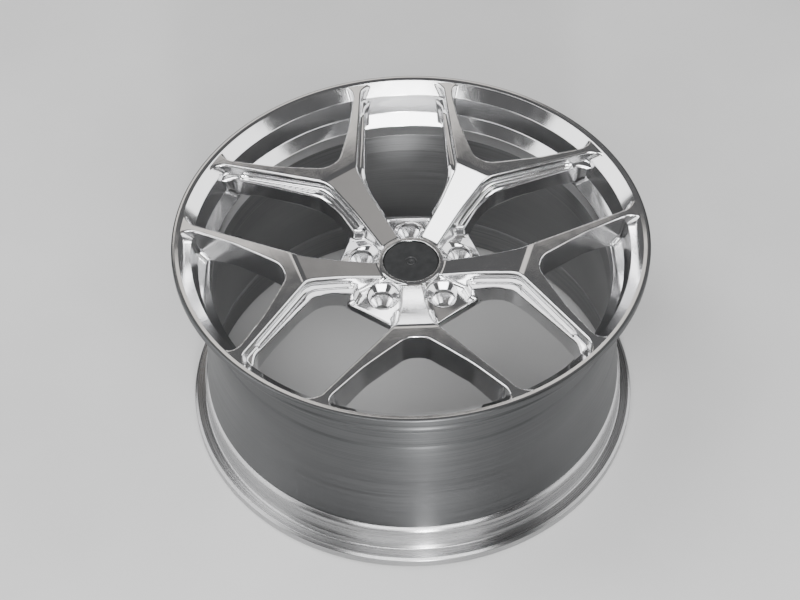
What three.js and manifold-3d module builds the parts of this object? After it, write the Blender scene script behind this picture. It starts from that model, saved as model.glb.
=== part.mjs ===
// Forged racing wheel: a five-spoke monoblock rim with twin-arm spokes, its snap-in centre cap,
// its centring ring and its valve.
// Millimetres, +Z up. The wheel lies face up on its inboard flange, with its axis on Z.
// Radii are measured from the axis and heights from the floor.
import * as THREE from 'three';
import { mergeVertices } from 'three/addons/utils/BufferGeometryUtils.js';
import Module from 'manifold-3d';

const wasm = await Module();
wasm.setup();

// ---------------------------------------------------------------- driving dimensions
const HEIGHT = 274;            // overall width of the rim, floor to outboard lip
const SPOKE_COUNT = 5;
const FIRST_SPOKE_DEG = -90;   // azimuth of the first spoke
const LATHE_SEGMENTS = 60;     // facets round the big turned parts
const SMALL_SEGMENTS = 24;     // facets round bores and small turned parts
const GAP = 0.3;               // clearance between neighbouring solids

const FLANGE_RADIUS = 271.5;
const SPLIT_DEPTH = 62;        // below the lip: where the lip ring meets the barrel
const SPLIT_OUTER_RADIUS = 239.4;
const SPLIT_INNER_RADIUS = 230.6;

const HUB_CUT = 86;            // distance from the axis where a spoke leaves the lug pads
const HUB_CORE_RADIUS = 38.6;  // outside of the tube round the cap and spigot bores
const ROOT_HALF_WIDTH = 15.05; // half width of a spoke where it runs between two lug pads
const WEB_CHORD = 84;          // distance from the axis to the web's straight edges
const MOUNT_DEPTH = 84;        // hub mounting face below the lip
const LUG_CIRCLE_RADIUS = 60;  // 120 mm pitch circle
const LUG_BORE_RADIUS = 13.5;
const LUG_HOLE_RADIUS = 7.5;
const LUG_SCALLOP_RADIUS = 20.5;
const SPIGOT_BORE_RADIUS = 36.3;
const SPIGOT_STEP_DEPTH = 66;
const CAP_BORE_RADIUS = 28.5;
const CAP_RECESS_RADIUS = 32.2;
const CAP_RECESS_DEPTH = 51.6;

const STEM_FACET = [[38, -47.9], [134.4, -6.8]];   // distance along the spoke, height from the lip
const LEDGE_DROP = 14;                             // top facet down to the side ledge

const VALVE_SEAT_RADIUS = 237.3;
const VALVE_DEPTH = 76;
const VALVE_DEG = 162;         // azimuth of the valve, in the middle of a large window
const VALVE_TILT_DEG = 10;     // how far the valve leans up towards the wheel's face
const VALVE_WALL = 5.7;        // rim thickness between the valve's two spot faces

// ---------------------------------------------------------------- helpers
const fromLip = (depth) => HEIGHT - depth;
const radians = THREE.MathUtils.degToRad;

function toSolid(geometry) {
  const bare = geometry.clone();
  bare.deleteAttribute('normal');
  bare.deleteAttribute('uv');
  const merged = mergeVertices(bare, 1e-4);
  const vertProperties = new Float32Array(merged.attributes.position.array);
  const triVerts = new Uint32Array(merged.index.array);
  const solid = new wasm.Manifold(new wasm.Mesh({ numProp: 3, vertProperties, triVerts }));
  return solid;
}

function toGeometry(solid) {
  const mesh = solid.getMesh();
  const geometry = new THREE.BufferGeometry();
  geometry.setAttribute('position', new THREE.BufferAttribute(new Float32Array(mesh.vertProperties), 3));
  geometry.setIndex(new THREE.BufferAttribute(new Uint32Array(mesh.triVerts), 1));
  geometry.computeVertexNormals();
  return geometry;
}

// A ring or solid of revolution about Z. The profile is a closed run of [radius, height] points,
// counter-clockwise with radius to the right and height up.
function turned(profile, segments = LATHE_SEGMENTS) {
  const points = [...profile, profile[0]].map(([r, z]) => new THREE.Vector2(r, z));
  return new THREE.LatheGeometry(points, segments).rotateX(Math.PI / 2);
}

// A washer-like ring between two heights.
function ring(innerRadius, outerRadius, low, high, segments = SMALL_SEGMENTS) {
  return turned([[innerRadius, low], [outerRadius, low], [outerRadius, high], [innerRadius, high]], segments);
}

// A solid disc or cone frustum standing on the axis.
function frustum(lowRadius, highRadius, low, high, segments = SMALL_SEGMENTS) {
  const cylinder = new THREE.CylinderGeometry(highRadius, lowRadius, high - low, segments);
  return cylinder.rotateX(Math.PI / 2).translate(0, 0, (low + high) / 2);
}

function prism(points, low, high) {
  const shape = new THREE.Shape(points.map(([x, y]) => new THREE.Vector2(x, y)));
  return new THREE.ExtrudeGeometry(shape, { depth: high - low, bevelEnabled: false }).translate(0, 0, low);
}

// A wide slab whose outline in the plane of the spoke's axis and Z is given.
function sideSlab(points, halfWidth) {
  const shape = new THREE.Shape(points.map(([u, z]) => new THREE.Vector2(u, z)));
  const slab = new THREE.ExtrudeGeometry(shape, { depth: 2 * halfWidth, bevelEnabled: false });
  return slab.rotateX(Math.PI / 2).translate(0, halfWidth, 0);
}

function regularPrism(apothem, sides, firstFlatDeg, low, high) {
  const corner = apothem / Math.cos(Math.PI / sides);
  const points = Array.from({ length: sides }, (_, i) => {
    const angle = radians(firstFlatDeg) + (i + 0.5) * 2 * Math.PI / sides;
    return [corner * Math.cos(angle), corner * Math.sin(angle)];
  });
  return prism(points, low, high);
}

// The half outline on the +v side, run out and then mirrored back, as one closed outline.
function mirrored(half) {
  return [...half, ...half.slice().reverse().filter(([, v]) => v > 0).map(([u, v]) => [u, -v])];
}

const spokeAngles = Array.from({ length: SPOKE_COUNT }, (_, i) => FIRST_SPOKE_DEG + i * 360 / SPOKE_COUNT);
const lugAngles = spokeAngles.map((angle) => angle + 180 / SPOKE_COUNT);

// ---------------------------------------------------------------- materials
const finish = (color, roughness, metalness) => new THREE.MeshStandardMaterial({ color, roughness, metalness });
const polished = () => finish(0xd6d6d8, 0.12, 1);
const brushed = () => finish(0x8e9092, 0.42, 1);
const blackPlastic = () => finish(0x1b1c1d, 0.55, 0);
const steel = () => finish(0xa8a9ab, 0.3, 1);
const brass = () => finish(0xc9a654, 0.3, 1);
const rubber = () => finish(0x141414, 0.85, 0);

const wheel = new THREE.Group();
wheel.name = 'forged_racing_wheel';

function addPart(group, name, geometry, material) {
  const mesh = new THREE.Mesh(geometry, material);
  mesh.name = name;
  group.add(mesh);
  return mesh;
}

// ---------------------------------------------------------------- outboard lip
// Outer flange, bead seat and hump outside; polished bevel, wall and ledge inside.
const LIP_INNER_STEPS = [[SPLIT_INNER_RADIUS, -61.7], [232.3, -48.3], [244.6, -36.2], [250.5, -13.6], [263.5, -1.9]];
const LIP_OUTER_STEPS = [[265.5, 0], [269.5, 0], [FLANGE_RADIUS, -2], [FLANGE_RADIUS, -7], [269.5, -9.5], [259, -12],
  [255.2, -16], [253.4, -34], [254.8, -36.5], [254.8, -39.5], [251.5, -43.5], [240.6, -58],
  [SPLIT_OUTER_RADIUS, -61.7]];

// A ring turned from its outer steps and its inner steps, each a radius and a height from the lip.
function turnedFromLip(outer, inner) {
  const steps = [...outer, ...inner].reverse();
  return turned(steps.map(([r, drop]) => [r, HEIGHT + drop]));
}

function outboardLip() {
  return turnedFromLip(LIP_OUTER_STEPS, LIP_INNER_STEPS);
}

// ---------------------------------------------------------------- barrel
// Drop well and tapered barrel, with spot faces for the valve.
const BARREL_OUTER = [[SPLIT_OUTER_RADIUS, -62], [239.2, -86.5], [240.2, -89.5], [251.47, -220.7]];
const BARREL_INNER = [[243.97, -220.7], [231, -92], [229.8, -88], [SPLIT_INNER_RADIUS, -62]];

// Inboard hump, bead seat and flange.
const INBOARD_OUTER = [[251.5, -221], [255.2, -226], [255.2, -232], [253.4, -236], [254.6, -253], [257, -257.4],
  [269.5, -258.4], [FLANGE_RADIUS, -261], [FLANGE_RADIUS, -269.5], [269.5, -273], [267, -274]];
const INBOARD_INNER = [[256, -274], [250.5, -271], [247.5, -264], [246.5, -236], [244, -221]];

// A tool shape on the valve's axis, moved to where the valve passes through the rim.
function onValveAxis(geometry) {
  const leaning = geometry.rotateX(radians(VALVE_TILT_DEG - 90));
  return leaning.translate(0, -VALVE_SEAT_RADIUS, fromLip(VALVE_DEPTH)).rotateZ(radians(VALVE_DEG + 90));
}

function rimBarrel() {
  const body = toSolid(turnedFromLip(BARREL_OUTER, BARREL_INNER));
  const hole = toSolid(onValveAxis(frustum(5.75, 5.75, -12, 16)));
  const outerSpot = toSolid(onValveAxis(frustum(10, 10, -14, 0)));
  const innerSpot = toSolid(onValveAxis(frustum(9, 9, VALVE_WALL, 16)));
  return toGeometry(body.subtract(hole).subtract(outerSpot).subtract(innerSpot));
}

// ---------------------------------------------------------------- spokes
// Built along +X: u runs out from the axis and v runs across the spoke. The narrow upper body
// carries the polished face; the wider lower body makes the stepped sides of the larger windows.
const V_WINDOW_EDGE = [[268, 99], [246, 94.5], [237, 92.5], [227, 88.2], [210, 74.8], [190, 55.4], [171, 33],
  [160, 18.6], [154.2, 9.6], [151.6, 3], [151.4, 0]];
const UPPER_EDGE = [[38, 12.6], [86, 14.8], [98, 16.2], [115, 18.8], [126, 21.6], [135, 26.4], [158.7, 45.2],
  [179.7, 62.5], [203.7, 82.5], [224, 99.4], [232, 108], [240, 125]];
const LOWER_EDGE = [[38, 24], [86, 24], [104, 24.4], [118, 27.4], [130, 34], [153.2, 52.4], [175, 69.4],
  [200.6, 86.2], [216, 97.6], [230, 112], [238, 127]];
const REAR_STEPS = [[270, -50], [232, -48.3], [190, -42], [150, -44.5], [120, -53], [100, -62], [84, -72]];

// Clips an outline's run of points so that it starts at the given distance along the spoke.
function startingAt(edge, start) {
  const next = edge.findIndex(([u]) => u > start);
  const [u0, v0] = edge[next - 1];
  const [u1, v1] = edge[next];
  return [[start, v0 + (v1 - v0) * (start - u0) / (u1 - u0)], ...edge.slice(next)];
}

function stemHeight(u) {
  const [[u0, z0], [u1, z1]] = STEM_FACET;
  return z0 + (z1 - z0) * (u - u0) / (u1 - u0);
}

function faceHeights(start, drop) {
  const crease = STEM_FACET[1];
  return [[start, HEIGHT + stemHeight(start) - drop], [crease[0], HEIGHT + crease[1] - drop],
    [240, HEIGHT - 1.9 - drop], [270, HEIGHT - 0.6 - drop]];
}

function spokeBody(edge, start, drop) {
  const outline = mirrored([...startingAt(edge, start), ...V_WINDOW_EDGE]);
  const rear = REAR_STEPS.filter(([u]) => u > start).map(([u, z]) => [u, HEIGHT + z]);
  const first = REAR_STEPS[REAR_STEPS.length - 1];
  const side = [[start, HEIGHT + first[1] + (start - first[0]) * 0.6], ...faceHeights(start, drop), ...rear];
  return toSolid(prism(outline, 0, HEIGHT + 10)).intersect(toSolid(sideSlab(side, 140)));
}

// The lip's inner steps grown by the clearance, as one solid ring that trims the arms' ends.
function lipEnvelope() {
  const inner = LIP_INNER_STEPS.map(([r, drop]) => [r - 2 * GAP, HEIGHT + drop]);
  const outline = [[SPLIT_INNER_RADIUS - 2 * GAP, 150], [300, 150], [300, HEIGHT + 20], [264, HEIGHT + 20]];
  return toSolid(turned([...outline, ...inner.reverse()]));
}

// ---------------------------------------------------------------- hub
// Web, five stem roots, the boss round the cap, lug holes and the spigot bore, as one body that is
// then divided into a central tube, five lug pads and the roots of the five spokes.
const WEB_PROFILE = [[SPIGOT_BORE_RADIUS, -MOUNT_DEPTH], [73.5, -MOUNT_DEPTH], [75.5, -80], [84, -72], [104, -72],
  [104, -66.5], [84, -61.8], [39, -50], [37.6, -47.2], [CAP_RECESS_RADIUS, -47.2],
  [CAP_RECESS_RADIUS, -CAP_RECESS_DEPTH], [CAP_BORE_RADIUS, -CAP_RECESS_DEPTH],
  [CAP_BORE_RADIUS, -SPIGOT_STEP_DEPTH], [SPIGOT_BORE_RADIUS, -SPIGOT_STEP_DEPTH]];
const STEM_ROOT_EDGE = [[37, 12.4], [HUB_CUT, 14.8]];
const FLANGE_ROOT_EDGE = [[74, 19], [79, 24], [HUB_CUT, 24]];

function stemRoot(angle, edge, drop, cut) {
  const start = edge[0][0];
  const widest = edge[edge.length - 1][1];
  const outline = mirrored([...edge, [cut, widest], [cut, 0]]);
  const floor = HEIGHT - 68;
  const side = [[start, floor], [start, HEIGHT + stemHeight(start) - drop],
    [cut, HEIGHT + stemHeight(cut) - drop], [cut, floor]];
  const body = toSolid(prism(outline, 0, HEIGHT)).intersect(toSolid(sideSlab(side, 60)));
  return toSolid(toGeometry(body).rotateZ(radians(angle)));
}

function lugTool(angle) {
  const at = radians(angle);
  const place = (geometry) => toSolid(geometry.translate(LUG_CIRCLE_RADIUS * Math.cos(at),
    LUG_CIRCLE_RADIUS * Math.sin(at), 0));
  const scallop = place(frustum(LUG_SCALLOP_RADIUS, LUG_SCALLOP_RADIUS, fromLip(54), fromLip(30)));
  const flare = place(frustum(LUG_BORE_RADIUS, LUG_SCALLOP_RADIUS, fromLip(60), fromLip(54)));
  const bore = place(frustum(LUG_BORE_RADIUS, LUG_BORE_RADIUS, fromLip(66), fromLip(58)));
  const seat = place(frustum(LUG_HOLE_RADIUS, LUG_BORE_RADIUS, fromLip(76.4), fromLip(66)));
  const hole = place(frustum(LUG_HOLE_RADIUS, LUG_HOLE_RADIUS, fromLip(90), fromLip(76)));
  return scallop.add(flare).add(bore).add(seat).add(hole);
}

// The whole hub out to the given distance along each spoke.
function wholeHub(cut) {
  let hub = toSolid(turned(WEB_PROFILE.map(([r, drop]) => [r, HEIGHT + drop])));
  hub = hub.intersect(toSolid(regularPrism(WEB_CHORD, SPOKE_COUNT, lugAngles[0], 0, HEIGHT)));
  hub = hub.intersect(toSolid(regularPrism(cut, SPOKE_COUNT, spokeAngles[0], 0, HEIGHT)));
  for (const angle of spokeAngles) {
    hub = hub.add(stemRoot(angle, STEM_ROOT_EDGE, 0, cut));
    hub = hub.add(stemRoot(angle, FLANGE_ROOT_EDGE, LEDGE_DROP, cut));
  }
  for (const angle of lugAngles) {
    hub = hub.subtract(lugTool(angle));
  }
  return hub;
}

function coreCylinder(radius) {
  return toSolid(frustum(radius, radius, 0, HEIGHT, LATHE_SEGMENTS));
}

// The slab along +X that separates a spoke's root from the lug pads beside it.
function rootSlab(halfWidth, end) {
  return toSolid(prism([[0, -halfWidth], [end, -halfWidth], [end, halfWidth], [0, halfWidth]], 0, HEIGHT));
}

function hubCore() {
  return toGeometry(wholeHub(HUB_CUT).intersect(coreCylinder(HUB_CORE_RADIUS)));
}

function lugPads() {
  let pads = wholeHub(HUB_CUT).subtract(coreCylinder(HUB_CORE_RADIUS + GAP));
  const slab = rootSlab(ROOT_HALF_WIDTH + GAP, 2 * HUB_CUT);
  for (const angle of spokeAngles) {
    pads = pads.subtract(toSolid(toGeometry(slab).rotateZ(radians(angle))));
  }
  return pads.decompose().map(toGeometry);
}

// A spoke's root between the lug pads, turned so that the spoke runs along +X.
function spokeRoot() {
  const hub = toSolid(toGeometry(wholeHub(HUB_CUT + 2 * GAP)).rotateZ(radians(-FIRST_SPOKE_DEG)));
  const root = hub.intersect(rootSlab(ROOT_HALF_WIDTH, 2 * HUB_CUT));
  return root.subtract(coreCylinder(HUB_CORE_RADIUS + GAP));
}

function spoke() {
  const start = HUB_CUT + GAP;
  const body = spokeBody(UPPER_EDGE, start, 0).add(spokeBody(LOWER_EDGE, start, LEDGE_DROP));
  return toGeometry(body.subtract(lipEnvelope()).add(spokeRoot()));
}

addPart(wheel, 'hub_core', hubCore(), polished());
lugPads().forEach((pad, i) => addPart(wheel, `lug_pad_${i + 1}`, pad, polished()));
spokeAngles.forEach((angle, i) => {
  addPart(wheel, `spoke_${i + 1}`, spoke(), polished()).rotation.z = radians(angle);
});
addPart(wheel, 'outboard_lip', outboardLip(), polished());
addPart(wheel, 'rim_barrel', rimBarrel(), brushed());
addPart(wheel, 'inboard_flange', turnedFromLip(INBOARD_OUTER, INBOARD_INNER), brushed());

// ---------------------------------------------------------------- centring ring
function hubRing() {
  return ring(33.5, SPIGOT_BORE_RADIUS - GAP, fromLip(MOUNT_DEPTH - GAP), fromLip(70), 40);
}
addPart(wheel, 'hub_ring', hubRing(), blackPlastic());

// ---------------------------------------------------------------- centre cap
const CAP_TOP = 48;
const CAP_RADIUS = 31.6;
const CAP_THICKNESS = 3.2;
const FINGER_COUNT = 6;

function centreCap() {
  const low = fromLip(CAP_TOP + CAP_THICKNESS);
  const high = fromLip(CAP_TOP);
  const profile = [[0, low], [CAP_RADIUS, low], [CAP_RADIUS, high - 0.8], [CAP_RADIUS - 0.8, high],
    [6.2, high], [5.6, high - 1.1], [0, high - 1.1]];
  const points = profile.map(([r, z]) => new THREE.Vector2(r, z));
  return new THREE.LatheGeometry(points, 40).rotateX(Math.PI / 2);
}

function capRetainer() {
  const top = CAP_TOP + CAP_THICKNESS + GAP;
  const outer = CAP_BORE_RADIUS - GAP;
  let body = toSolid(ring(21, outer, fromLip(top + 2.4), fromLip(top), 36));
  for (let i = 0; i < FINGER_COUNT; i += 1) {
    const middle = i * 2 * Math.PI / FINGER_COUNT;
    const half = 0.3;
    const arc = new THREE.Shape();
    arc.absarc(0, 0, outer, middle - half, middle + half, false);
    arc.absarc(0, 0, outer - 2.4, middle + half, middle - half, true);
    const finger = new THREE.ExtrudeGeometry(arc, { depth: 11, bevelEnabled: false, curveSegments: 3 });
    body = body.add(toSolid(finger.translate(0, 0, fromLip(top + 13))));
  }
  return toGeometry(body);
}

function capSpring() {
  const wireRadius = 0.9;
  const ringRadius = CAP_BORE_RADIUS - GAP - 2.4 - GAP - wireRadius;
  const section = Array.from({ length: 6 }, (_, i) => {
    const angle = i * Math.PI / 3;
    return [ringRadius + wireRadius * Math.cos(angle), fromLip(61) + wireRadius * Math.sin(angle)];
  });
  return turned(section, 30);
}

addPart(wheel, 'centre_cap', centreCap(), blackPlastic());
addPart(wheel, 'cap_retainer', capRetainer(), blackPlastic());
addPart(wheel, 'cap_spring', capSpring(), steel());

// ---------------------------------------------------------------- valve
// Everything on the valve is turned about its own axis: 0 is the tyre-side seat in the rim,
// and distances grow towards the wheel's axis.
const valveTurn = new THREE.Group();
valveTurn.rotation.z = radians(VALVE_DEG + 90);
wheel.add(valveTurn);
const valve = new THREE.Group();
valve.position.set(0, -VALVE_SEAT_RADIUS, fromLip(VALVE_DEPTH));
valve.rotation.x = radians(VALVE_TILT_DEG - 90);
valveTurn.add(valve);

const STEM_RADIUS = 4;
const STEM_TIP = 24;
const SLEEVE_BORE = STEM_RADIUS + GAP;

function valveStem() {
  return turned([[1.2, -5.8], [8.5, -5.8], [8.5, -2.8], [STEM_RADIUS, -2.8], [STEM_RADIUS, STEM_TIP],
    [2.8, STEM_TIP], [2.8, 9], [1.2, 9]], SMALL_SEGMENTS);
}

function valveGrommet() {
  return turned([[SLEEVE_BORE, -2.5], [8, -2.5], [8, -GAP], [5.45, -GAP], [5.45, 4.5], [SLEEVE_BORE, 4.5]],
    SMALL_SEGMENTS);
}

function valveNut() {
  const body = toSolid(regularPrism(6, 6, 0, VALVE_WALL + 1.8, VALVE_WALL + 7.3));
  return toGeometry(body.subtract(toSolid(frustum(SLEEVE_BORE, SLEEVE_BORE, 0, 20))));
}

function valveCap() {
  const points = [[0, 27], [4.4, 27], [5, 26.2], [5, 15], [SLEEVE_BORE + 0.1, 15], [SLEEVE_BORE + 0.1, 25.4],
    [0, 25.4]].reverse().map(([r, s]) => new THREE.Vector2(r, s));
  return new THREE.LatheGeometry(points, SMALL_SEGMENTS).rotateX(Math.PI / 2);
}

addPart(valve, 'valve_stem', valveStem(), brass());
addPart(valve, 'valve_grommet', valveGrommet(), rubber());
addPart(valve, 'valve_washer', ring(SLEEVE_BORE, 7.5, VALVE_WALL + GAP, VALVE_WALL + 1.5), steel());
addPart(valve, 'valve_nut', valveNut(), steel());
addPart(valve, 'valve_core', ring(0.95, 2.5, 10, 23.6, 16), brass());
addPart(valve, 'valve_pin', frustum(0.6, 0.6, 8.5, 24.3, 12), steel());
addPart(valve, 'valve_cap', valveCap(), blackPlastic());
addPart(valve, 'valve_cap_seal', frustum(3.8, 3.8, 24.6, 25.1, 16), rubber());

export default wheel;
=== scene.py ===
import math

import bpy
import numpy as np
from mathutils import Matrix, Vector


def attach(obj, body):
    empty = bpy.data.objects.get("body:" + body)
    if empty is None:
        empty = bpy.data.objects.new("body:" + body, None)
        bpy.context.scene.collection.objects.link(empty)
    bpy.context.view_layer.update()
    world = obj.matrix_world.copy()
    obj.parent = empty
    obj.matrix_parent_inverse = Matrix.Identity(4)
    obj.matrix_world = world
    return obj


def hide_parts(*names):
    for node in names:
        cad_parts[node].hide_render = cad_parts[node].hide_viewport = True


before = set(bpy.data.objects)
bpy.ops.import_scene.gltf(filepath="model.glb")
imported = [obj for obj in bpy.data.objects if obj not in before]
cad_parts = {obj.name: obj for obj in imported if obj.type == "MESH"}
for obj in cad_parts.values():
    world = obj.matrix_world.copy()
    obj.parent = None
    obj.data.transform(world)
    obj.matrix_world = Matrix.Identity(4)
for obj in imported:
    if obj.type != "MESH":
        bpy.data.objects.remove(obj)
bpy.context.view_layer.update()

# The looks of a forged five-spoke racing wheel, lying face up.
# Shapes are worked out in millimetres. Heights are measured from the outboard lip, so they are
# negative. Each spoke is shaped along +u (outwards) and v (across), and then turned into place.
MM = 0.001
HEIGHT = 274.0
SPOKE_COUNT = 5
SPOKE_DEGREES = [-90 + 72 * i for i in range(SPOKE_COUNT)]
HALF_SECTOR = math.radians(36)
SPOKE_STEP = 1.0
HUB_STEP = 1.25
TURNED_SEGMENTS = 288

# Corners of the outlines: distance along the spoke, distance across it, corner radius.
VEE_WINDOW = [(151.5, 0, 0), (151.5, 10.4, 22), (172, 34.6, 150), (193, 58.4, 150), (230, 92.4, 22),
              (300, 112, 0)]
UPPER_OUTLINE = [(20, 12.0, 0), (86, 14.8, 200), (129.3, 20.8, 38), (228.5, 103.2, 16), (262, 176, 0)]
LOWER_OUTLINE = [(70.5, 0, 0), (70.5, 15.5, 3), (78.5, 24.0, 4), (112, 24.8, 60), (131, 34.6, 40),
                 (214, 97, 20), (262, 190, 0)]

STEM_START = (38.0, -47.9)      # distance along the spoke and height of the sloping stem facet
CREASE = (134.4, -6.8)          # where the stem facet meets the arm facet
ARM_SLOPE = 0.0464
CREASE_SOFTNESS = 1.6
LAND_EDGE_RADIUS = 2.6          # bright rounded edge on the larger windows' side
VEE_EDGE_RADIUS = 1.5
LEDGE_DROP = 12.0               # from the facet down to the ledge's inner edge
LEDGE_SLOPE = 0.55
LEDGE_REACH = 20.0              # the ledge stops sloping this far from the upper wall
LEDGE_EDGE_RADIUS = 2.6
LEDGE_FILLET = 1.5
CHANNEL_RADIUS = 4.6            # ball-ended cutter that ran along the foot of the upper wall
CHANNEL_OUT = 2.6
CHANNEL_DROP = 10.2
CHANNEL_ENDS = (79.0, 206.0)
CHANNEL_EDGE_RADIUS = 0.9
REAR_U = [0, 84, 100, 120, 150, 190, 232, 300]
REAR_Z = [-76, -72, -62, -53, -44.5, -42, -48.3, -50]
REAR_EDGE_RADIUS = 3.0

# Turned profiles: radius, height, corner radius, counter-clockwise with the radius to the right.
LIP_BEVEL_TOP = (263.5, -0.9, 0.5)
LIP_BEVEL_LINE = (292.0, 26.94, 0)      # on the bevel's line, far above the lip
LIP_STEPS = [(250.5, -13.6, 1.6), (244.6, -36.2, 3.0), (232.3, -48.3, 1.8)]
LIP_TYRE_SIDE = [(230.6, -61.9, 0.3), (239.4, -61.9, 0.3), (240.6, -58, 4), (251.5, -43.5, 4),
                 (254.8, -39.5, 2.5), (254.8, -36.5, 2.5), (253.4, -34, 6), (255.2, -16, 4),
                 (259, -12, 2.5), (269.5, -9.5, 2), (271.5, -7, 1.6), (271.5, 0, 1.8)]
LIP_PROFILE = [(267.5, 0, 4), LIP_BEVEL_TOP] + LIP_STEPS + LIP_TYRE_SIDE
BARREL_PROFILE = [(230.6, -62.0, 0.3), (229.8, -88, 8), (231, -92, 8), (244, -220.9, 0),
                  (251.5, -220.9, 0), (240.2, -89.5, 6), (239.2, -86.5, 4), (239.4, -62.0, 0.3)]
INBOARD_PROFILE = [(244, -221, 0), (246.5, -236, 20), (247.5, -264, 3), (250.5, -271, 2), (256, -274, 1),
                   (268, -274, 1.2), (271.5, -270.5, 2), (271.5, -260.5, 1.8), (268, -258.3, 1.5),
                   (257, -257.4, 2.5), (254.6, -253, 3), (253.4, -236, 8), (255.4, -231.5, 2.5),
                   (255.4, -226.5, 2.5), (251.5, -221, 0)]
TYRE_SIDE_TOP = 268.0           # height from the floor; below it the lip's tyre side is left as turned, in the turned metal's darkest copy, painted shade

# Hub.
HUB_END = 86.0                  # plane where the hub's mesh meets a spoke's
SPARE = 6.0                     # meshed beyond that plane, then trimmed back to it
WHOLE_HUB_END = 120.0           # the hub's fillets reach no further along a spoke
PAST_OUTLINE = 3.0              # a spoke's mesh stops this far beyond its corner fillets
INTO_LIP = 2.0                  # and this far inside the lip
WEB_CHORD = 84.0
WEB_TOP_R = [0, 39, 84, 120]
WEB_TOP_Z = [-50, -50, -61.8, -71]
WEB_REAR_R = [0, 73.5, 75.5, 84, 120]
WEB_REAR_Z = [-84, -84, -80, -72, -72]
WEB_EDGE_RADIUS = 2.2
WEB_FILLET = 4.0
BOSS_RADIUS = 37.6
BOSS_TOP = -47.0
BOSS_BOTTOM = -83.0
BOSS_EDGE_RADIUS = 1.0
BOSS_FILLET = 1.5
BORE_Z = [-100, -66.05, -65.95, -51.65, -51.55, 10]
BORE_RADIUS = [36.3, 36.3, 28.5, 28.5, 32.2, 32.2]
BORE_EDGE_RADIUS = 0.5
LUG_CIRCLE = 60.0
LUG_Z = [-100, -76.4, -66, -60, -54, 20]
LUG_RADIUS = [7.5, 7.5, 13.5, 13.5, 20.5, 20.5]
LUG_EDGE_RADIUS = 0.9
CORNER_FILLET = 6.0
NEAR_OUTLINE = 0.4              # closer than this, an outline's own normals give the direction
BURIED = 0.2                    # how far a spoke's flank lies under the lip's own surface

# Meshing.
LIP_TABLE_STEP = 0.5
SETTLE_ROUNDS = 3
LONGEST_MOVE = 0.4              # share of the mesh's spacing that a point may move in one round
LEAST_SLOPE = 0.2               # squared; keeps a move short where the field is nearly flat

# Valve, in a window that the left spoke's upper arm hides from the front.
VALVE_RADIUS = 237.3
VALVE_DEPTH = 76.0
VALVE_DEG = 162.0
VALVE_TILT = 10.0
VALVE_WALL = 5.7


# ---------------------------------------------------------------- plane outlines
def rounded_outline(corners, chord=1.0):
    """The closed outline through the corners, each rounded to its radius, and its normals."""
    points, normals = [], []
    count = len(corners)
    for i in range(count):
        here = np.array(corners[i][:2], float)
        before = here - np.array(corners[i - 1][:2], float)
        after = np.array(corners[(i + 1) % count][:2], float) - here
        before /= np.linalg.norm(before)
        after /= np.linalg.norm(after)
        turn = math.atan2(before[0] * after[1] - before[1] * after[0], before @ after)
        radius = corners[i][2]
        if radius <= 0 or abs(turn) < 1e-4:
            middle = before + after
            middle /= np.linalg.norm(middle)
            points.append(here)
            normals.append((middle[1], -middle[0]))
            continue
        start = here - before * radius * math.tan(abs(turn) / 2)
        side = math.copysign(1.0, turn)
        centre = start + side * radius * np.array([-before[1], before[0]])
        steps = max(3, math.ceil(radius * abs(turn) / chord))
        for k in range(steps + 1):
            angle = turn * k / steps
            spin = np.array([[math.cos(angle), -math.sin(angle)], [math.sin(angle), math.cos(angle)]])
            normal = spin @ np.array([before[1], -before[0]])
            points.append(centre + side * radius * normal)
            normals.append(normal)
    return np.array(points), np.array(normals)


def outline_edges(corners, chord=0.8):
    """The rounded outline as edges, each with the outward normals at its two ends."""
    points, normals = rounded_outline(corners, chord)
    ends, end_normals = np.roll(points, -1, axis=0), np.roll(normals, -1, axis=0)
    along = ends - points
    length = np.linalg.norm(along, axis=1)[:, None]
    flat = np.stack([along[:, 1], -along[:, 0]], axis=1) / length
    straight = length > 2 * chord
    area = (points[:, 0] * ends[:, 1] - points[:, 1] * ends[:, 0]).sum()
    outward = math.copysign(1.0, area)
    first = np.where(straight, flat, normals) * outward
    last = np.where(straight, flat, end_normals) * outward
    return list(zip(points, ends, first, last))


def both_sides(half):
    """A closed outline from its half on the +v side."""
    other_half = [(u, -v, radius) for u, v, radius in reversed(half) if v > 0]
    return outline_edges(half + other_half)


def outline_distance(outline, x, y):
    """Signed distance to a closed outline, negative inside it, with its direction."""
    best = np.full(x.shape, np.inf)
    gx, gy = np.zeros_like(x), np.zeros_like(x)
    nx, ny = np.zeros_like(x), np.zeros_like(x)
    inside = np.zeros(x.shape, bool)
    for (x0, y0), (x1, y1), first, last in outline:
        ex, ey = x1 - x0, y1 - y0
        wx, wy = x - x0, y - y0
        t = np.clip((wx * ex + wy * ey) / (ex * ex + ey * ey), 0, 1)
        dx, dy = wx - ex * t, wy - ey * t
        square = dx * dx + dy * dy
        nearer = square < best
        best = np.where(nearer, square, best)
        gx = np.where(nearer, dx, gx)
        gy = np.where(nearer, dy, gy)
        nx = np.where(nearer, first[0] + (last[0] - first[0]) * t, nx)
        ny = np.where(nearer, first[1] + (last[1] - first[1]) * t, ny)
        if y0 != y1:
            crosses = ((y0 > y) != (y1 > y)) & (wx < ex * wy / ey)
            inside ^= crosses
    length = np.sqrt(best)
    sign = np.where(inside, -1.0, 1.0)
    scale = sign / np.maximum(length, 1e-9)
    close = length < NEAR_OUTLINE
    return sign * length, np.where(close, nx, gx * scale), np.where(close, ny, gy * scale)


VEE = both_sides(VEE_WINDOW)
UPPER = both_sides(UPPER_OUTLINE)
LOWER = both_sides(LOWER_OUTLINE)


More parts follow.
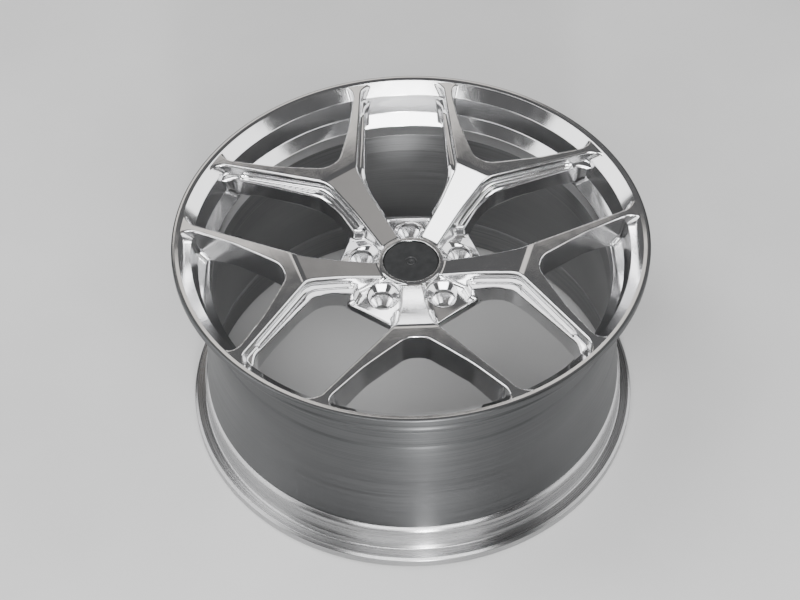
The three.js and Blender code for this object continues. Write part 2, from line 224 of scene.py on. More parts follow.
def lip_outline():
    """The lip's inner steps as a closed outline that runs on above and outside the lip."""
    below = [(230.6, -61.9, 0), (230.4, -100, 0), (330, -100, 0), (330, LIP_BEVEL_LINE[1], 0)]
    return outline_edges([LIP_BEVEL_LINE] + LIP_STEPS + below)


LIP = lip_outline()


# ---------------------------------------------------------------- solid fields
def round_edge(a, b, radius):
    """Where both are solid, with their outer edge rounded."""
    corner = np.hypot(np.maximum(radius + a, 0), np.maximum(radius + b, 0))
    return np.minimum(-radius, np.maximum(a, b)) + corner


def fillet(a, b, radius):
    """Where either is solid, with their inner corner filled to the radius."""
    corner = np.hypot(np.maximum(radius - a, 0), np.maximum(radius - b, 0))
    return np.maximum(radius, np.minimum(a, b)) - corner


def facet_height(u):
    """Height of the polished facets, with a narrow soft crease between stem and arms."""
    stem = STEM_START[1] + (u - STEM_START[0]) * (CREASE[1] - STEM_START[1]) / (CREASE[0] - STEM_START[0])
    arm = CREASE[1] + (u - CREASE[0]) * ARM_SLOPE
    soft = np.maximum(CREASE_SOFTNESS - np.abs(stem - arm), 0)
    return np.minimum(stem, arm) - soft * soft / (4 * CREASE_SOFTNESS)


def spoke_field(u, z, vee, upper, lower, lip):
    """A spoke with its stepped flanks, joined to the lip by corner fillets."""
    hidden_lip = lip + BURIED
    top = facet_height(u)
    body = round_edge(fillet(upper, hidden_lip, CORNER_FILLET), z - top, LAND_EDGE_RADIUS)
    ledge = top - LEDGE_DROP - LEDGE_SLOPE * np.clip(upper, 0, LEDGE_REACH)
    step = round_edge(fillet(lower, hidden_lip, CORNER_FILLET), z - ledge, LEDGE_EDGE_RADIUS)
    side = fillet(body, step, LEDGE_FILLET)
    past_end = np.maximum(np.maximum(CHANNEL_ENDS[0] - u, u - CHANNEL_ENDS[1]), 0)
    channel = np.sqrt((upper - CHANNEL_OUT) ** 2 + (z - top + CHANNEL_DROP) ** 2 + past_end ** 2)
    side = round_edge(side, CHANNEL_RADIUS - channel, CHANNEL_EDGE_RADIUS)
    side = round_edge(side, fillet(-vee, hidden_lip, CORNER_FILLET), VEE_EDGE_RADIUS)
    return round_edge(side, np.interp(u, REAR_U, REAR_Z) - z, REAR_EDGE_RADIUS)


def hub_field(u, v, z, spoke):
    """The web, its boss, the lug seats and the central bores, joined to the spokes."""
    radius = np.hypot(u, v)
    chord = u * math.cos(HALF_SECTOR) + v * math.sin(HALF_SECTOR) - WEB_CHORD
    web = round_edge(chord, z - np.interp(radius, WEB_TOP_R, WEB_TOP_Z), WEB_EDGE_RADIUS)
    web = np.maximum(web, np.interp(radius, WEB_REAR_R, WEB_REAR_Z) - z)
    boss = np.maximum(round_edge(radius - BOSS_RADIUS, z - BOSS_TOP, BOSS_EDGE_RADIUS), BOSS_BOTTOM - z)
    hub = fillet(fillet(spoke, web, WEB_FILLET), boss, BOSS_FILLET)
    lug_u, lug_v = LUG_CIRCLE * math.cos(HALF_SECTOR), LUG_CIRCLE * math.sin(HALF_SECTOR)
    from_lug = np.hypot(u - lug_u, v - lug_v)
    hub = round_edge(hub, np.interp(z, LUG_Z, LUG_RADIUS) - from_lug, LUG_EDGE_RADIUS)
    return round_edge(hub, np.interp(z, BORE_Z, BORE_RADIUS) - radius, BORE_EDGE_RADIUS)


def fold(x, y):
    """Turns every point into the half sector beside the nearest spoke."""
    angle = np.arctan2(y, x)
    local = angle - np.round(angle / (2 * HALF_SECTOR)) * 2 * HALF_SECTOR
    radius = np.hypot(x, y)
    return radius * np.cos(local), radius * np.abs(np.sin(local)), np.sign(local), angle - local


def mirror(x, y):
    """Turns every point onto the +v side of the one spoke that runs along +X."""
    return x, np.abs(y), np.sign(y), np.zeros_like(x)


def distances(u, v, z):
    """Signed distances to the outlines and the lip, each with its gradient along u, v and z."""
    zero = np.zeros_like(u)
    rows = []
    for outline in (VEE, UPPER, LOWER):
        d, gu, gv = outline_distance(outline, u, v)
        rows.append((d, gu, gv, zero))
    radius = np.maximum(np.hypot(u, v), 1e-6)
    d, gr, gz = outline_distance(LIP, radius, z)
    rows.append((d, gr * u / radius, gr * v / radius, gz))
    return rows


def spoke_piece_field(u, v, z, d):
    """A spoke and its part of the hub, from inside the cut plane to just under the lip's surface."""
    spoke = spoke_field(u, z, *d)
    near_arms = np.maximum(-d[0], d[1]) - CORNER_FILLET - PAST_OUTLINE
    near_lip = -d[3] - INTO_LIP
    hub = hub_field(u, v, z, spoke)
    whole = np.where(u < WHOLE_HUB_END, hub, spoke)
    return np.maximum(np.maximum(whole, near_arms), np.maximum(near_lip, HUB_END - SPARE - u))


def hub_piece_field(u, v, z, d):
    """The hub with the roots of all five spokes."""
    return np.maximum(hub_field(u, v, z, spoke_field(u, z, *d)), u - HUB_END - SPARE)


# ---------------------------------------------------------------- meshes from fields
def grid_values(field, repeat, xs, ys, zs):
    """The field at every grid point. Outline distances are found once per column."""
    x, y = np.meshgrid(xs, ys, indexing="ij")
    u, v = repeat(x, y)[:2]
    plan = [outline_distance(outline, u, v)[0] for outline in (VEE, UPPER, LOWER)]
    radii = np.hypot(u, v)
    lip_r = np.arange(radii.min() - 1, radii.max() + 2, LIP_TABLE_STEP)
    values = np.empty((len(xs), len(ys), len(zs)))
    for k, height in enumerate(zs):
        row = outline_distance(LIP, lip_r, np.full_like(lip_r, height))[0]
        level = np.full_like(u, height)
        values[:, :, k] = field(u, v, level, plan + [np.interp(radii, lip_r, row)])
    return values


def surface_net(values, xs, ys, zs):
    """One vertex in each cell that the surface crosses, and a quad round each crossed edge."""
    inside = values < 0
    cells = tuple(n - 1 for n in values.shape)
    total = np.zeros(cells + (3,))
    count = np.zeros(cells)
    edges = []
    for axis in range(3):
        low = [slice(None)] * 3
        high = [slice(None)] * 3
        low[axis], high[axis] = slice(0, -1), slice(1, None)
        a, b = values[tuple(low)], values[tuple(high)]
        crossed = inside[tuple(low)] != inside[tuple(high)]
        at = np.argwhere(crossed)
        share = a[crossed] / (a[crossed] - b[crossed])
        others = [k for k in range(3) if k != axis]
        point = at.astype(float)
        point[:, axis] += share
        for first in (0, 1):
            for second in (0, 1):
                cell = at.copy()
                cell[:, others[0]] -= first
                cell[:, others[1]] -= second
                good = np.all((cell >= 0) & (cell < np.array(cells)), axis=1)
                key = tuple(cell[good].T)
                np.add.at(total, key, point[good])
                np.add.at(count, key, 1)
        edges.append((axis, others, at, inside[tuple(low)][crossed]))
    index = np.full(cells, -1)
    used = count > 0
    index[used] = np.arange(used.sum())
    where = total[used] / count[used][:, None]
    spacing = np.array([xs[1] - xs[0], ys[1] - ys[0], zs[1] - zs[0]])
    vertices = where * spacing + np.array([xs[0], ys[0], zs[0]])
    quads = []
    for axis, others, at, low_inside in edges:
        ring = []
        for first, second in ((0, 0), (1, 0), (1, 1), (0, 1)):
            cell = at.copy()
            cell[:, others[0]] -= first
            cell[:, others[1]] -= second
            ring.append(index[tuple(cell.T)])
        ring = np.stack(ring, axis=1)
        flip = low_inside if axis == 1 else ~low_inside
        ring[flip] = ring[flip][:, ::-1]
        quads.append(ring)
    return vertices, np.concatenate(quads)


def exact_field(field, repeat, points):
    """The field and its gradient at free points."""
    step = 0.02
    u, v, side, turn = repeat(points[:, 0], points[:, 1])
    z = points[:, 2]
    rows = distances(u, v, z)
    d = [row[0] for row in rows]
    value = field(u, v, z, d)
    slopes = []
    for axis in range(3):
        ends = []
        for sign in (1, -1):
            moved = [u, v, z]
            moved[axis] = moved[axis] + sign * step
            shifted = [row[0] + sign * step * row[axis + 1] for row in rows]
            ends.append(field(*moved, shifted))
        slopes.append((ends[0] - ends[1]) / (2 * step))
    along, across = slopes[0], slopes[1] * side
    gradient = np.stack([along * np.cos(turn) - across * np.sin(turn),
                         along * np.sin(turn) + across * np.cos(turn), slopes[2]], axis=1)
    return value, gradient


def settle(field, repeat, points, step, held=None):
    """Moves points onto the surface, across the held direction if there is one."""
    for _ in range(SETTLE_ROUNDS):
        value, gradient = exact_field(field, repeat, points)
        if held is not None:
            gradient = gradient - held * (gradient * held).sum(axis=1)[:, None]
        square = np.maximum((gradient ** 2).sum(axis=1), LEAST_SLOPE)
        move = -gradient * (value / square)[:, None]
        length = np.maximum(np.linalg.norm(move, axis=1), 1e-9)
        points = points + move * np.minimum(1, LONGEST_MOVE * step / length)[:, None]
    return points


def open_loops(quads):
    """Loops of vertices that close the mesh's open edges."""
    ahead = {}
    twins = set()
    for quad in quads:
        for a, b in zip(quad, np.roll(quad, -1)):
            twins.add((a, b))
    for a, b in twins:
        if (b, a) not in twins:
            ahead[b] = a
    loops = []
    while ahead:
        start, here = next(iter(ahead.items()))
        loop = [start]
        del ahead[start]
        while here != start:
            loop.append(here)
            here = ahead.pop(here)
        loops.append(loop)
    return loops


def trim(field, repeat, points, quads, step, outwards):
    """Cuts the mesh off at the plane between hub and spoke, and closes it there."""
    u, _, _, turn = repeat(points[:, 0], points[:, 1])
    over = (u - HUB_END) * outwards > 0
    quads = quads[~over[quads].all(axis=1)]
    rim = np.unique(quads[over[quads]])
    held = np.stack([np.cos(turn[rim]), np.sin(turn[rim]), 0 * turn[rim]], axis=1)
    moved = points[rim] + held * (HUB_END - u[rim])[:, None]
    points[rim] = settle(field, repeat, moved, step, held)
    kept = np.unique(quads)
    number = np.zeros(len(points), int)
    number[kept] = np.arange(len(kept))
    return points[kept], number[quads]


def field_mesh(name, field, repeat, low, high, step, outwards):
    """A closed mesh of the field's surface, drawn onto it exactly, with its true normals."""
    xs, ys, zs = (np.arange(a, b + step, step) for a, b in zip(low, high))
    points, quads = surface_net(grid_values(field, repeat, xs, ys, zs), xs, ys, zs)
    points = settle(field, repeat, points, step)
    points, quads = trim(field, repeat, points, quads, step, outwards)
    normals = exact_field(field, repeat, points)[1]
    normals /= np.maximum(np.linalg.norm(normals, axis=1), 1e-9)[:, None]
    faces = quads.tolist() + open_loops(quads.tolist())
    return mesh_object(name, to_metres(points), faces, normals)


def to_metres(points):
    return (points + np.array([0, 0, HEIGHT])) * MM


def mesh_object(name, vertices, faces, normals=None):
    mesh = bpy.data.meshes.new(name)
    mesh.from_pydata([tuple(p) for p in vertices], [], [tuple(f) for f in faces])
    mesh.polygons.foreach_set("use_smooth", [True] * len(mesh.polygons))
    mesh.update()
    if normals is not None:
        mesh.normals_split_custom_set_from_vertices([tuple(n) for n in normals])
    piece = bpy.data.objects.new(name, mesh)
    bpy.context.scene.collection.objects.link(piece)
    return piece


def turned(name, corners, segments=TURNED_SEGMENTS, chord=0.6, matrix=None):
    """A closed profile turned about Z, with the profile's own normals."""
    points, across = rounded_outline(corners, chord)
    angles = np.arange(segments) * 2 * math.pi / segments
    cos, sin = np.cos(angles)[:, None], np.sin(angles)[:, None]
    radius, height = points[:, 0][None, :], points[:, 1][None, :]
    vertices = np.stack([radius * cos, radius * sin, height + 0 * cos], axis=-1).reshape(-1, 3)
    normals = np.stack([across[:, 0] * cos, across[:, 0] * sin, across[:, 1] + 0 * cos], axis=-1)
    count = len(points)
    ring, step = np.meshgrid(np.arange(segments), np.arange(count), indexing="ij")
    after, ahead = (ring + 1) % segments, (step + 1) % count
    faces = np.stack([ring * count + step, after * count + step, after * count + ahead,
                      ring * count + ahead], axis=-1).reshape(-1, 4)
    if matrix is None:
        matrix = Matrix.Translation((0, 0, HEIGHT * MM))
    piece = mesh_object(name, vertices * MM, faces, normals.reshape(-1, 3))
    piece.matrix_world = matrix
    return piece


# ---------------------------------------------------------------- materials
MIX_A, MIX_B, MIX_RESULT = 6, 7, 2      # the colour sockets of a Mix node


def new_material(name):
    material = bpy.data.materials.new(name)
    material.use_nodes = True
    tree = material.node_tree
    shader = tree.nodes["Principled BSDF"]
    return material, tree, shader


def node(tree, kind, links=(), **settings):
    made = tree.nodes.new(kind)
    for key, value in settings.items():
        setattr(made, key, value)
    for socket, source in links:
        tree.links.new(source, made.inputs[socket])
    return made


def noise(tree, vector, scale, detail=4.0, stretch=None):
    """Noise in the object's own coordinates, stretched along the axes given."""
    if stretch:
        mapping = node(tree, "ShaderNodeMapping", [("Vector", vector)])
        mapping.inputs["Scale"].default_value = stretch
        vector = mapping.outputs["Vector"]
    texture = node(tree, "ShaderNodeTexNoise", [("Vector", vector)])
    texture.inputs["Scale"].default_value = scale
    texture.inputs["Detail"].default_value = detail
    return texture.outputs["Fac"]


def ramp(tree, source, low, high, start=0.35, end=0.65):
    """Maps a noise value to two colours or two greys."""
    made = node(tree, "ShaderNodeValToRGB", [("Fac", source)])
    made.color_ramp.elements[0].position = start
    made.color_ramp.elements[1].position = end
    made.color_ramp.elements[0].color = tuple(low) + (1,)
    made.color_ramp.elements[1].color = tuple(high) + (1,)
    return made.outputs["Color"]


def grey(value):
    return (value, value, value)


def bump(tree, shader, height, strength, distance, after=None):
    made = node(tree, "ShaderNodeBump", [("Height", height)])
    made.inputs["Strength"].default_value = strength
    made.inputs["Distance"].default_value = distance
    if after:
        tree.links.new(after, made.inputs["Normal"])
    tree.links.new(made.outputs["Normal"], shader.inputs["Normal"])
    return made.outputs["Normal"]


def round_the_wheel(tree):
    """Coordinates that run round the axis, along the radius and up, for turned marks."""
    place = node(tree, "ShaderNodeTexCoord").outputs["Object"]
    split = node(tree, "ShaderNodeSeparateXYZ", [("Vector", place)])
    across = node(tree, "ShaderNodeCombineXYZ", [("X", split.outputs["X"]), ("Y", split.outputs["Y"])])
    length = node(tree, "ShaderNodeVectorMath", [(0, across.outputs["Vector"])], operation="LENGTH")
    unit = node(tree, "ShaderNodeVectorMath", [(0, across.outputs["Vector"])], operation="NORMALIZE")
    flat = node(tree, "ShaderNodeSeparateXYZ", [("Vector", unit.outputs["Vector"])])
    both = node(tree, "ShaderNodeMath", [(0, length.outputs["Value"]), (1, split.outputs["Z"])],
                operation="SUBTRACT")
    return node(tree, "ShaderNodeCombineXYZ", [("X", flat.outputs["X"]), ("Y", flat.outputs["Y"]),
                                               ("Z", both.outputs["Value"])]).outputs["Vector"]


def polished_aluminium():
    """Bright hand-polished metal: crisp on faces that look up, softer on the walls of the pockets."""
    material, tree, shader = new_material("polished_aluminium")
    shader.inputs["Metallic"].default_value = 1.0
    place = node(tree, "ShaderNodeTexCoord").outputs["Object"]
    tone = ramp(tree, noise(tree, place, 14), (0.80, 0.80, 0.81), (0.88, 0.88, 0.885))
    tree.links.new(tone, shader.inputs["Base Color"])
    crisp = ramp(tree, noise(tree, place, 60, 8), grey(0.06), grey(0.13), 0.3, 0.75)
    soft = ramp(tree, noise(tree, place, 60, 8), grey(0.17), grey(0.24), 0.3, 0.75)
    facing = node(tree, "ShaderNodeTexCoord").outputs["Normal"]
    upward = node(tree, "ShaderNodeSeparateXYZ", [("Vector", facing)]).outputs["Z"]
    face = ramp(tree, upward, grey(0), grey(1), 0.5, 0.7)
    haze = node(tree, "ShaderNodeMix", [("Factor", face)], data_type="RGBA")
    tree.links.new(soft, haze.inputs[MIX_A])
    tree.links.new(crisp, haze.inputs[MIX_B])
    tree.links.new(haze.outputs[MIX_RESULT], shader.inputs["Roughness"])
    lines = noise(tree, place, 900, 2, (1, 0.06, 1))
    first = bump(tree, shader, lines, 0.05, 0.0002)
    bump(tree, shader, noise(tree, place, 22, 2), 0.04, 0.0006, first)
    return material


def turned_aluminium(name, tones, roughness, ring_strength):
    """Lathe-turned metal: fine rings round the axis over a cloudy tone."""
    material, tree, shader = new_material(name)
    shader.inputs["Metallic"].default_value = 1.0
    shader.inputs["Anisotropic"].default_value = 0.85
    shader.inputs["Anisotropic Rotation"].default_value = 0.25      # smears light across the rings
    around = round_the_wheel(tree)
    place = node(tree, "ShaderNodeTexCoord").outputs["Object"]
    rings = noise(tree, around, 1.0, 6, (1.2, 1.2, 900))
    tone = ramp(tree, rings, tones[0], tones[1], 0.25, 0.75)
    clouds = ramp(tree, noise(tree, place, 9, 6), grey(0.86), grey(1.0), 0.3, 0.7)
    mix = node(tree, "ShaderNodeMix", data_type="RGBA", blend_type="MULTIPLY")
    mix.inputs["Factor"].default_value = 1.0
    tree.links.new(tone, mix.inputs[MIX_A])
    tree.links.new(clouds, mix.inputs[MIX_B])
    tree.links.new(mix.outputs[MIX_RESULT], shader.inputs["Base Color"])
    rough = ramp(tree, rings, grey(roughness[0]), grey(roughness[1]), 0.3, 0.7)
    tree.links.new(rough, shader.inputs["Roughness"])
    tangent = node(tree, "ShaderNodeTangent", direction_type="RADIAL", axis="Z")
    tree.links.new(tangent.outputs["Tangent"], shader.inputs["Tangent"])
    bump(tree, shader, rings, ring_strength, 0.0003)
    return material


def plastic(name, low, high, roughness):
    """Moulded black plastic with a fine grain."""
    material, tree, shader = new_material(name)
    place = node(tree, "ShaderNodeTexCoord").outputs["Object"]
    tone = ramp(tree, noise(tree, place, 120, 6), low, high)
    tree.links.new(tone, shader.inputs["Base Color"])
    rough = ramp(tree, noise(tree, place, 300, 4), grey(roughness[0]), grey(roughness[1]))
    tree.links.new(rough, shader.inputs["Roughness"])
    bump(tree, shader, noise(tree, place, 2500, 2), 0.12, 0.0002)
    return material


def plated(name, low, high, roughness):
    """A small plated or machined metal part."""
    material, tree, shader = new_material(name)
    shader.inputs["Metallic"].default_value = 1.0
    place = node(tree, "ShaderNodeTexCoord").outputs["Object"]
    tone = ramp(tree, noise(tree, place, 400, 5), low, high)
    tree.links.new(tone, shader.inputs["Base Color"])
    rough = ramp(tree, noise(tree, place, 900, 3), grey(roughness[0]), grey(roughness[1]))
    tree.links.new(rough, shader.inputs["Roughness"])
    return material


POLISHED = polished_aluminium()
# Lit and shaded copies of one turned aluminium, each set to the brightness its part shows under the
# light: painted shade, darkest, on the barrel's outside and the lip's tyre side; lighter painted shade
# inside the barrel; painted light on the inboard flange.
PAINTED_SHADE_TONES = ((0.085, 0.087, 0.089), (0.155, 0.158, 0.161))
PAINTED_HALF_SHADE_TONES = ((0.22, 0.222, 0.225), (0.36, 0.363, 0.367))
PAINTED_LIGHT_TONES = ((0.36, 0.36, 0.365), (0.52, 0.52, 0.525))
BRUSHED_PAINTED_SHADE = turned_aluminium("brushed_aluminium", PAINTED_SHADE_TONES, (0.34, 0.48), 0.2)
BARREL_INSIDE_HALF_SHADE = turned_aluminium("barrel_inside_half_shade", PAINTED_HALF_SHADE_TONES, (0.34, 0.48), 0.2)
TURNED_PAINTED_LIGHT = turned_aluminium("turned_painted_light", PAINTED_LIGHT_TONES, (0.22, 0.34), 0.15)
CAP_BLACK = plastic("cap_black", (0.018, 0.019, 0.020), (0.028, 0.029, 0.030), (0.42, 0.54))
CLIP_BLACK = plastic("clip_plastic", (0.03, 0.03, 0.032), (0.045, 0.045, 0.047), (0.5, 0.65))
RING_BLACK = plastic("hub_ring_plastic", (0.035, 0.035, 0.038), (0.055, 0.055, 0.058), (0.55, 0.7))
RUBBER = plastic("seal_rubber", (0.016, 0.016, 0.016), (0.028, 0.028, 0.028), (0.7, 0.85))
DUST_CAP_BLACK = plastic("valve_cap_black", (0.024, 0.024, 0.026), (0.036, 0.036, 0.038), (0.42, 0.55))
STEEL = plated("spring_steel", (0.50, 0.50, 0.51), (0.66, 0.66, 0.67), (0.22, 0.36))
NICKEL = plated("valve_metal", (0.64, 0.64, 0.66), (0.76, 0.76, 0.77), (0.12, 0.22))
BRASS = plated("core_brass", (0.66, 0.48, 0.20), (0.80, 0.62, 0.30), (0.2, 0.34))


def finish(piece, material, slot, body, *nodes):
    """Gives a piece its material and the CAD body that it rides on, and hides the CAD nodes it stands
    for. The slot argument is not used.
    """
    piece.data.materials.clear()
    piece.data.materials.append(material)
    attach(piece, body)
    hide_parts(*nodes)


def coat_node(name, material):
    """A CAD node that is detailed enough keeps its own shape and only gets a material."""
    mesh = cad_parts[name].data
    mesh.materials.clear()
    mesh.materials.append(material)


# ---------------------------------------------------------------- the forging
SPOKE_BOX = ((78, -136, -80), (268, 136, 4))
HUB_BOX = ((-102, -102, -88), (102, 102, -14))


def build_spokes():
    """One spoke is shaped along +X, and its mesh is turned into the five places."""
    shaped = field_mesh("spoke_face_1", spoke_piece_field, mirror, *SPOKE_BOX, SPOKE_STEP, outwards=-1)
    for i, degrees in enumerate(SPOKE_DEGREES):
        piece = shaped
        if i:
            piece = bpy.data.objects.new(f"spoke_face_{i + 1}", shaped.data)
            bpy.context.scene.collection.objects.link(piece)
        piece.matrix_world = Matrix.Rotation(math.radians(degrees), 4, "Z")
        finish(piece, POLISHED, "polished_aluminium", "wheel", f"spoke_{i + 1}")


def build_hub():
    hub = field_mesh("hub_face", hub_piece_field, fold, *HUB_BOX, HUB_STEP, outwards=1)
    hub.matrix_world = Matrix.Rotation(math.radians(SPOKE_DEGREES[0]), 4, "Z")
    pads = [f"lug_pad_{i + 1}" for i in range(SPOKE_COUNT)]
    finish(hub, POLISHED, "polished_aluminium", "wheel", "hub_core", *pads)


def recoat(piece, material, chosen):
    """Gives the chosen faces of a turned piece a second material."""
    piece.data.materials.append(material)
    for face in piece.data.polygons:
        outward = face.normal.x * face.center.x + face.normal.y * face.center.y > 0
        face.material_index = int(chosen(outward, face.center.z))


def build_rim():
    lip = turned("lip_ring", LIP_PROFILE)
    finish(lip, POLISHED, "polished_aluminium", "wheel", "outboard_lip")
    # The lip's tyre side gets the darkest turned copy: painted shade.
    recoat(lip, BRUSHED_PAINTED_SHADE, lambda outward, z: outward and z < TYRE_SIDE_TOP * MM)
    # Outside, the barrel gets the darkest copy, painted shade; inside, a lighter painted shade.
    barrel = turned("barrel_shell", BARREL_PROFILE)
    finish(barrel, BRUSHED_PAINTED_SHADE, "brushed_aluminium", "wheel", "rim_barrel")
    recoat(barrel, BARREL_INSIDE_HALF_SHADE, lambda outward, z: not outward)
    # The inboard flange gets painted light outside and the barrel's lighter painted shade inside.
    inboard = turned("inboard_ring", INBOARD_PROFILE)
    finish(inboard, TURNED_PAINTED_LIGHT, "brushed_aluminium", "wheel", "inboard_flange")
    recoat(inboard, BARREL_INSIDE_HALF_SHADE, lambda outward, z: not outward)


# ---------------------------------------------------------------- centre cap and ring
NEAR_AXIS = 0.01                # a turned profile that closes on the axis stops just short of it
CAP_DISC = [(NEAR_AXIS, -51.2, 0), (31.4, -51.2, 0.5), (31.6, -48.9, 0.7), (30.9, -48.0, 0.6),
            (7.0, -48.0, 0.5), (6.2, -48.9, 0.4), (5.2, -48.9, 0.4), (4.6, -48.2, 0.4),
            (NEAR_AXIS, -48.2, 0)]
CAP_WIRE = [(24.0, -61.9, 0.85), (25.7, -61.9, 0.85), (25.7, -60.1, 0.85), (24.0, -60.1, 0.85)]
CENTRING_RING = [(33.5, -83.7, 0.5), (36.0, -83.7, 0.4), (36.0, -70, 0.4), (33.5, -70, 0.6)]


def build_cap():
    cap = turned("cap_disc", CAP_DISC, segments=128, chord=0.2)
    finish(cap, CAP_BLACK, "cap_black", "cap", "centre_cap")
    spring = turned("cap_wire", CAP_WIRE, segments=96, chord=0.3)
    finish(spring, STEEL, "spring_steel", "cap", "cap_spring")
    ring = turned("centring_ring", CENTRING_RING, segments=128, chord=0.2)
    finish(ring, RING_BLACK, "hub_ring_plastic", "wheel", "hub_ring")
    coat_node("cap_retainer", CLIP_BLACK)


# ---------------------------------------------------------------- valve
# Profiles along the valve's own axis: radius, distance from its outer spot face, corner radius.
THREAD_COUNT = 14
THREAD_PITCH = 0.75
THREAD_TOP = 23.4
THREAD_CREST = 4.0
THREAD_ROOT = 3.65
STEM_HEAD = [(1.2, -5.8, 0.1), (8.5, -5.8, 1.0), (8.5, -2.8, 0.6), (THREAD_CREST, -2.8, 0.2)]
STEM_BORE = [(2.8, 24.0, 0.1), (2.8, 9, 0.1), (1.2, 9, 0.1)]
GROMMET = [(4.3, -2.5, 0.2), (8, -2.5, 0.6), (8, -0.3, 0.4), (5.45, -0.3, 0.2), (5.45, 4.5, 0.3),
           (4.3, 4.5, 0.2)]
WASHER = [(4.3, VALVE_WALL + 0.3, 0.1), (7.5, VALVE_WALL + 0.3, 0.2),
          (7.5, VALVE_WALL + 1.5, 0.3), (4.3, VALVE_WALL + 1.5, 0.1)]
CORE = [(0.95, 10, 0.1), (2.5, 10, 0.3), (2.5, 23.6, 0.3), (0.95, 23.6, 0.1)]
PIN = [(NEAR_AXIS, 12.5, 0), (0.6, 12.5, 0.2), (0.6, 24.3, 0.25), (NEAR_AXIS, 24.3, 0)]
DUST_SEAL = [(NEAR_AXIS, 24.6, 0), (3.8, 24.6, 0.15), (3.8, 25.1, 0.15), (NEAR_AXIS, 25.1, 0)]
DUST_CAP = [(NEAR_AXIS, 25.4, 0), (4.4, 25.4, 0.3), (4.4, 15, 0.2), (4.9, 15, 0.3), (5.0, 26.1, 0.5),
            (4.4, 27.0, 0.6), (NEAR_AXIS, 27.0, 0)]
KNURL_RADIUS = 4.8              # only the cap's outer skin is knurled, between these two distances
KNURL_ENDS = (16, 25.2)
KNURL_RIBS = 24
KNURL_DEPTH = 0.035


def valve_matrix():
    """The valve's own axis runs along local Z, from the tyre side towards the wheel's axis."""
    turn = Matrix.Rotation(math.radians(VALVE_DEG + 90), 4, "Z")
    seat = Matrix.Translation((0, -VALVE_RADIUS * MM, (HEIGHT - VALVE_DEPTH) * MM))
    lean = Matrix.Rotation(math.radians(VALVE_TILT - 90), 4, "X")
    return turn @ seat @ lean


def stem_profile():
    """The valve's body, with its threads as grooves from the crest to the root."""
    threads = [(THREAD_CREST, 24.0, 0.1)]
    for i in range(THREAD_COUNT):
        top = THREAD_TOP - i * THREAD_PITCH
        threads += [(THREAD_CREST, top, 0.05), (THREAD_ROOT, top - THREAD_PITCH / 2, 0.05)]
    return STEM_HEAD + threads[::-1] + STEM_BORE


def build_valve():
    place = valve_matrix()
    stem = turned("valve_tube", stem_profile(), segments=64, chord=0.3, matrix=place)
    finish(stem, NICKEL, "valve_metal", "wheel", "valve_stem")
    grommet = turned("valve_seal", GROMMET, segments=64, chord=0.3, matrix=place)
    finish(grommet, RUBBER, "seal_rubber", "wheel", "valve_grommet")
    washer = turned("valve_disc", WASHER, segments=64, chord=0.3, matrix=place)
    finish(washer, STEEL, "spring_steel", "wheel", "valve_washer")
    core = turned("valve_insert", CORE, segments=48, chord=0.3, matrix=place)
    finish(core, BRASS, "core_brass", "wheel", "valve_core")
    pin = turned("valve_needle", PIN, segments=32, chord=0.2, matrix=place)
    finish(pin, STEEL, "spring_steel", "pin", "valve_pin")
    seal = turned("dust_seal", DUST_SEAL, segments=48, chord=0.2, matrix=place)
    finish(seal, RUBBER, "seal_rubber", "dust_cap", "valve_cap_seal")
    build_dust_cap(place)
    coat_node("valve_nut", STEEL)


def build_dust_cap(place):
    """A turned cap whose skirt is knurled with straight ribs."""
    cap = turned("dust_cap_shell", DUST_CAP, segments=96, chord=0.3, matrix=place)
    low, high = KNURL_ENDS
    for vertex in cap.data.vertices:
        radius = math.hypot(vertex.co.x, vertex.co.y)
        if radius > KNURL_RADIUS * MM and low * MM < vertex.co.z < high * MM:
            angle = math.atan2(vertex.co.y, vertex.co.x)
            shrink = 1 - KNURL_DEPTH * (0.5 + 0.5 * math.cos(KNURL_RIBS * angle))
            vertex.co.x *= shrink
            vertex.co.y *= shrink
    finish(cap, DUST_CAP_BLACK, "valve_cap_black", "dust_cap", "valve_cap")


# ---------------------------------------------------------------- studio
# Soft panels: direction from the wheel, distance, width and height, brightness, tint.
WARM = (1.0, 0.95, 0.89)
WHITE = (1.0, 1.0, 1.0)
PANELS = {
    "overhead_left": ((-0.42, 0.10, 0.90), 2.6, (1.2, 1.5), 5.0, WHITE),
    "overhead_right": ((0.46, 0.12, 0.88), 2.6, (1.0, 1.3), 0.27, WARM),
    "back_high": ((-0.12, 0.78, 0.615), 3.0, (1.6, 0.78), 0.9, WARM),
    "back_right_low": ((0.52, 0.80, 0.32), 3.4, (1.4, 0.7), 0.2, WARM),
    "right": ((0.88, 0.02, 0.36), 3.0, (3.8, 2.1), 2.3, WHITE),
    "left": ((-0.88, 0.02, 0.36), 3.0, (3.8, 2.1), 2.6, WHITE),
    "back_strip": ((0.0, 1.0, 0.08), 4.6, (2.0, 0.45), 3.2, WHITE),
    "front_overhead": ((0.0, -0.72, 0.70), 3.0, (2.6, 1.2), 9.0, WHITE),
    "front_strip": ((0.05, -0.97, 0.22), 3.2, (0.25, 1.1), 90.0, WHITE),
}
PANEL_TARGET = Vector((0, 0, 0.25))
FLOOR_HALF = 6.0
FLOOR_TONES = (grey(0.66), grey(0.72))
FLOOR_ROUGHNESS = 0.8
ROOM_COLOUR = (0.12, 0.12, 0.122, 1)


def soft_panel(name, direction, distance, size, brightness, tint):
    """A rectangular light that faces the wheel, with the same brightness at any size."""
    light = bpy.data.lights.new(name, "AREA")
    light.shape = "RECTANGLE"
    light.size, light.size_y = size
    light.energy = brightness * math.pi * size[0] * size[1]
    light.color = tint
    lamp = bpy.data.objects.new(name, light)
    towards = Vector(direction).normalized()
    lamp.location = PANEL_TARGET + towards * distance
    lamp.rotation_euler = (-towards).to_track_quat("-Z", "Y").to_euler()
    bpy.context.scene.collection.objects.link(lamp)


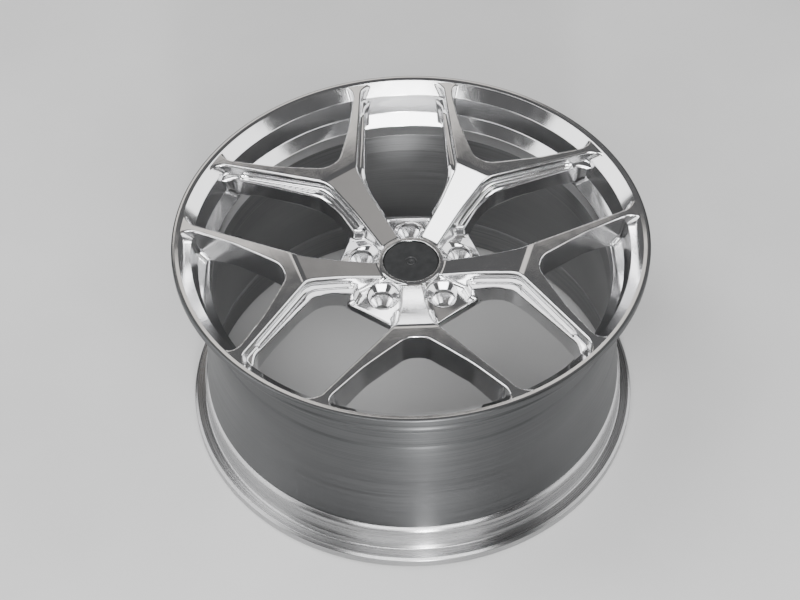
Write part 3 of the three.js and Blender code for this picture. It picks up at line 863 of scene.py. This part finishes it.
def build_floor():
    corners = [(x * FLOOR_HALF, y * FLOOR_HALF, 0) for x, y in ((-1, -1), (1, -1), (1, 1), (-1, 1))]
    mesh = bpy.data.meshes.new("studio_floor")
    mesh.from_pydata(corners, [], [(0, 1, 2, 3)])
    floor = bpy.data.objects.new("studio_floor", mesh)
    bpy.context.scene.collection.objects.link(floor)
    material, tree, shader = new_material("studio_floor")
    place = node(tree, "ShaderNodeTexCoord").outputs["Object"]
    tone = ramp(tree, noise(tree, place, 3, 6), *FLOOR_TONES)
    tree.links.new(tone, shader.inputs["Base Color"])
    shader.inputs["Roughness"].default_value = FLOOR_ROUGHNESS
    floor.data.materials.append(material)


def build_studio():
    build_floor()
    world = bpy.data.worlds.new("studio")
    bpy.context.scene.world = world
    world.use_nodes = True
    world.node_tree.nodes["Background"].inputs["Color"].default_value = ROOM_COLOUR
    world.node_tree.nodes["Background"].inputs["Strength"].default_value = 1.0
    for name, panel in PANELS.items():
        soft_panel(name, *panel)


# ---------------------------------------------------------------- camera
CAMERA_PLACE = (-0.04036, -1.32206, 1.63264)
CAMERA_PITCH = 48.096           # degrees below the horizon
CAMERA_ROLL = -0.0212           # radians
CAMERA_TURN = -1.16             # degrees
CAMERA_LENS = 75.12             # millimetres, as is the sensor's width
CAMERA_SENSOR = 36.0


def build_camera():
    pitch = math.radians(CAMERA_PITCH)
    forward = Vector((0, math.cos(pitch), -math.sin(pitch)))
    right = Vector((1, 0, 0))
    up = right.cross(forward)
    cos, sin = math.cos(CAMERA_ROLL), math.sin(CAMERA_ROLL)
    rolled_right = right * cos + up * sin
    rolled_up = up * cos - right * sin
    axes = Matrix((rolled_right, rolled_up, -forward)).transposed()
    turn = Matrix.Rotation(math.radians(CAMERA_TURN), 3, "Z")
    data = bpy.data.cameras.new("camera")
    data.lens = CAMERA_LENS
    data.sensor_width = CAMERA_SENSOR
    camera = bpy.data.objects.new("camera", data)
    camera.matrix_world = Matrix.Translation(CAMERA_PLACE) @ (turn @ axes).to_4x4()
    bpy.context.scene.collection.objects.link(camera)
    bpy.context.scene.camera = camera


build_spokes()
build_hub()
build_rim()
build_cap()
build_valve()
build_studio()
build_camera()
